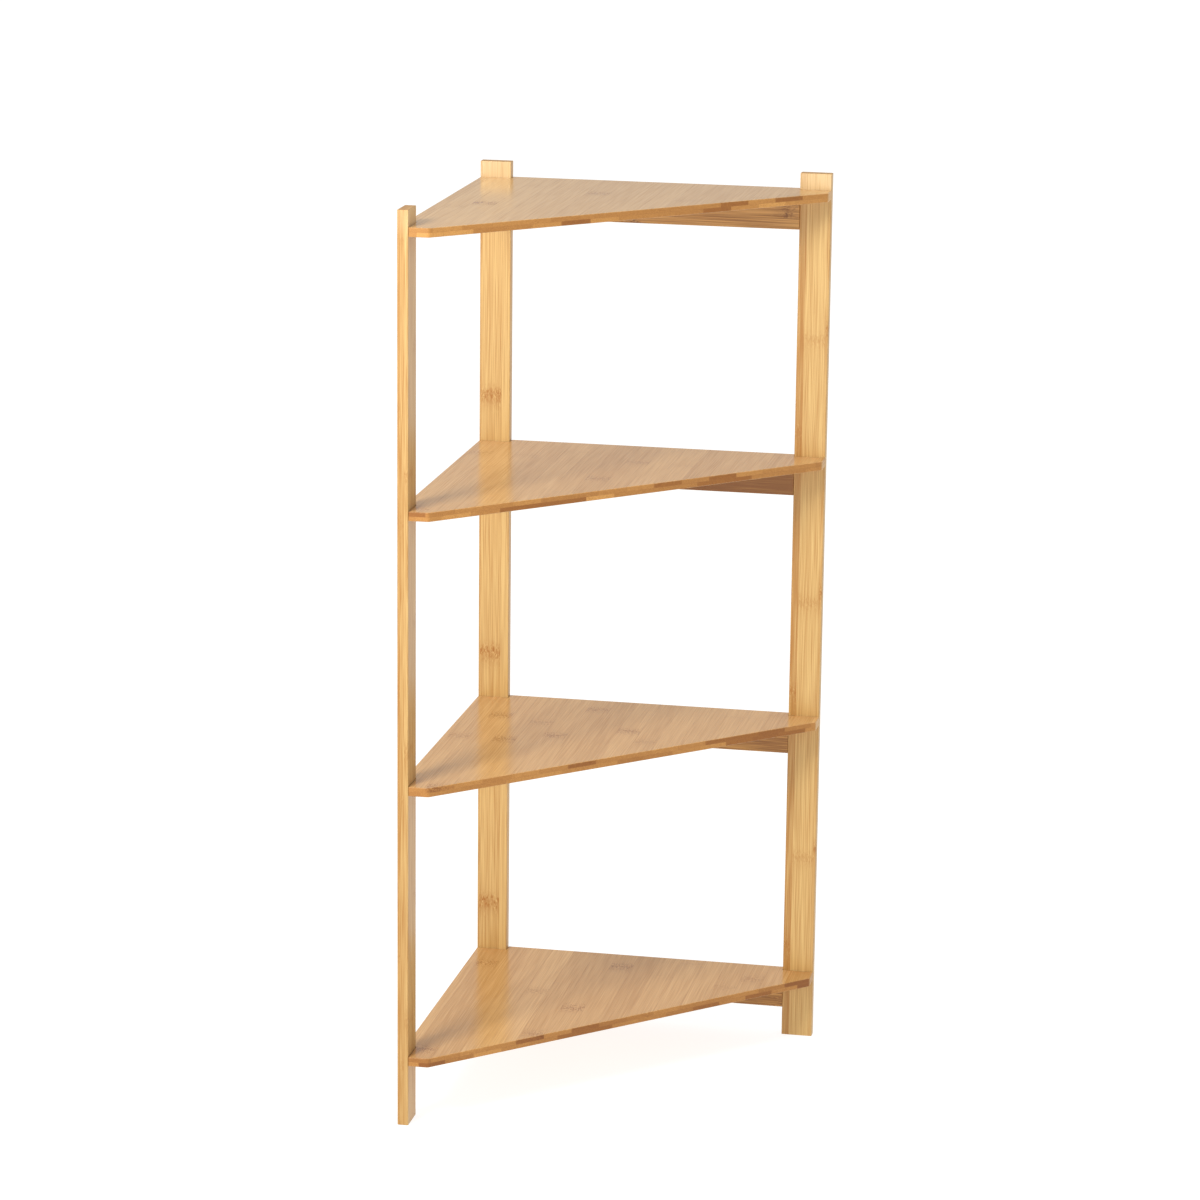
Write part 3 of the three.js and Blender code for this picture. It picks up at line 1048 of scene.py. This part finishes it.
FRONT_STRIPS = {
    "left": ((14.0, 0.40, 255.0, 0.5), (21.0, 0.45, 120.0, 0.5)),
    "corner": ((2.0, 0.60, 20.0, 0.5), (23.5, 0.30, 135.0, 1.2), (9.5, 0.10, 40.0, 0.3)),
    "right": ((8.2, 0.85, 109.0, 0.8), (23.5, 0.25, 215.0, 0.4), (3.3, 0.50, 228.0, 1.0))}
RAIL_STRIPS_MM = (12.0, 23.0)
RAIL_TONES = {"top": 0.25, "upper": 1.2, "lower": 0.70, "bottom": 0.75}
RAIL_NODES_MM = {
    "top": (140.0, 13.0), "upper": (60.0, 210.0), "lower": (180.0, 95.0), "bottom": (30.0, 240.0)}
RAIL_NODE_STRENGTH = 0.9
INNER_TONES = {"left": 0.42, "corner": 0.0, "right": 0.0}
POST_AXES = {"left": (-Y, -X, Z), "corner": (X, Y, Z), "right": (X, Y, Z)}


def make_post(name, material, chance):
    width_mm = sum(width for width, *_ in FRONT_STRIPS[name])
    offsets = [chance.uniform(0, LATH_STRIP_MM) for _ in LATH_LAYERS_MM]
    rows = chosen_rows(LATH_LAYERS_MM, FRONT_STRIPS[name], width_mm, offsets, chance, INNER_TONES[name])
    holes = [screw_hole(f"screw_{name}_{level}_{side}") for level in LEVELS for side in "ab"]
    if name != "left":
        holes += [dowel_hole(node) for level in LEVELS for node in dowels_of(level) if f"_{name}_" in node]
    make_lath(f"lath_{name}", f"post_{name}", POST_AXES[name], holes, rows, material)


def make_rail(level, material, chance):
    node = f"rail_{level}"
    low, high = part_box(node)
    offsets = [chance.uniform(0, LATH_STRIP_MM) for _ in LATH_LAYERS_MM]
    front = [
        (width, RAIL_TONES[level], height, RAIL_NODE_STRENGTH)
        for width, height in zip(RAIL_STRIPS_MM, RAIL_NODES_MM[level])]
    rows = chosen_rows(LATH_LAYERS_MM, front, (high.z - low.z) / MM, offsets, chance)
    holes = [dowel_hole(dowel) for dowel in dowels_of(level)]
    make_lath(f"lath_{node}", node, (Z, Y, X), holes, rows, material)


# Stage

def make_camera():
    """A level camera looks along +Y. It is rolled, pitched and then turned to its place."""
    camera = bpy.data.objects.new("camera", bpy.data.cameras.new("camera"))
    bpy.context.scene.collection.objects.link(camera)
    turn = Matrix.Rotation(CAMERA_YAW, 4, "Z") @ Matrix.Rotation(CAMERA_PITCH, 4, "X")
    turn = turn @ Matrix.Rotation(CAMERA_ROLL, 4, "Y") @ Matrix.Rotation(math.pi / 2, 4, "X")
    camera.matrix_world = Matrix.Translation(CAMERA_PLACE) @ turn
    camera.data.sensor_width = SENSOR_WIDTH_MM
    camera.data.lens = SENSOR_WIDTH_MM * FOCAL_LENGTH_PIXELS / PHOTO_WIDTH
    camera.data.clip_end = FLOOR_SIZE * 2
    bpy.context.scene.camera = camera


def make_floor():
    half = FLOOR_SIZE / 2
    mesh = bpy.data.meshes.new("floor")
    corners = [(-half, -half, 0), (half, -half, 0), (half, half, 0), (-half, half, 0)]
    mesh.from_pydata(corners, [], [(0, 1, 2, 3)])
    material, graph, shader = new_material("floor")
    shader.inputs["Base Color"].default_value = colour(FLOOR_GREY, FLOOR_GREY, FLOOR_GREY)
    shader.inputs["Roughness"].default_value = FLOOR_ROUGHNESS
    shader.inputs["Specular IOR Level"].default_value = FLOOR_SHINE
    shader.inputs["Emission Color"].default_value = colour(1, 1, 1)
    shader.inputs["Emission Strength"].default_value = FLOOR_GLOW
    mesh.materials.append(material)
    new_object("floor", mesh)


def add_light(name, place, aim, power, size):
    light = bpy.data.lights.new(name, "AREA")
    light.shape = "RECTANGLE"
    light.size, light.size_y = size
    light.energy = power
    lamp = new_object(name, light)
    lamp.matrix_world = standing(Vector(place), (Vector(place) - Vector(aim)).normalized())


def make_lights():
    world = bpy.data.worlds.new("studio")
    world.use_nodes = True
    graph = Graph(world.node_tree)
    _, _, height = graph.split(graph.add("ShaderNodeTexCoord").outputs["Generated"])
    heights = math.sin(HORIZON_TOP), math.sin(ZENITH_START)
    light = graph.ramp(height, *heights, HORIZON_LIGHT, ZENITH_LIGHT)
    background = world.node_tree.nodes["Background"]
    background.inputs["Color"].default_value = colour(1, 1, 1)
    graph.set(background.inputs["Strength"], light)
    bpy.context.scene.world = world
    add_light("key", KEY_PLACE, KEY_AIM, KEY_POWER, (KEY_SIZE, KEY_SIZE))
    add_light("panel", PANEL_PLACE, PANEL_AIM, PANEL_POWER, PANEL_SIZE)
    bpy.context.scene.view_settings.view_transform = "Standard"


make_camera()
make_floor()
make_lights()

group = bamboo_group()
posts_wood, shelves_wood, rails_wood = post_bamboo(group), shelf_bamboo(group), rail_bamboo(group)

chance = random.Random(CHANCE_SEED)
for name in POSTS:
    make_post(name, posts_wood, chance)
board = shelf_mesh()
for level in LEVELS:
    make_shelf(level, shelves_wood, board, chance)
    make_rail(level, rails_wood, chance)
make_screws(steel())
make_dowels(beech())
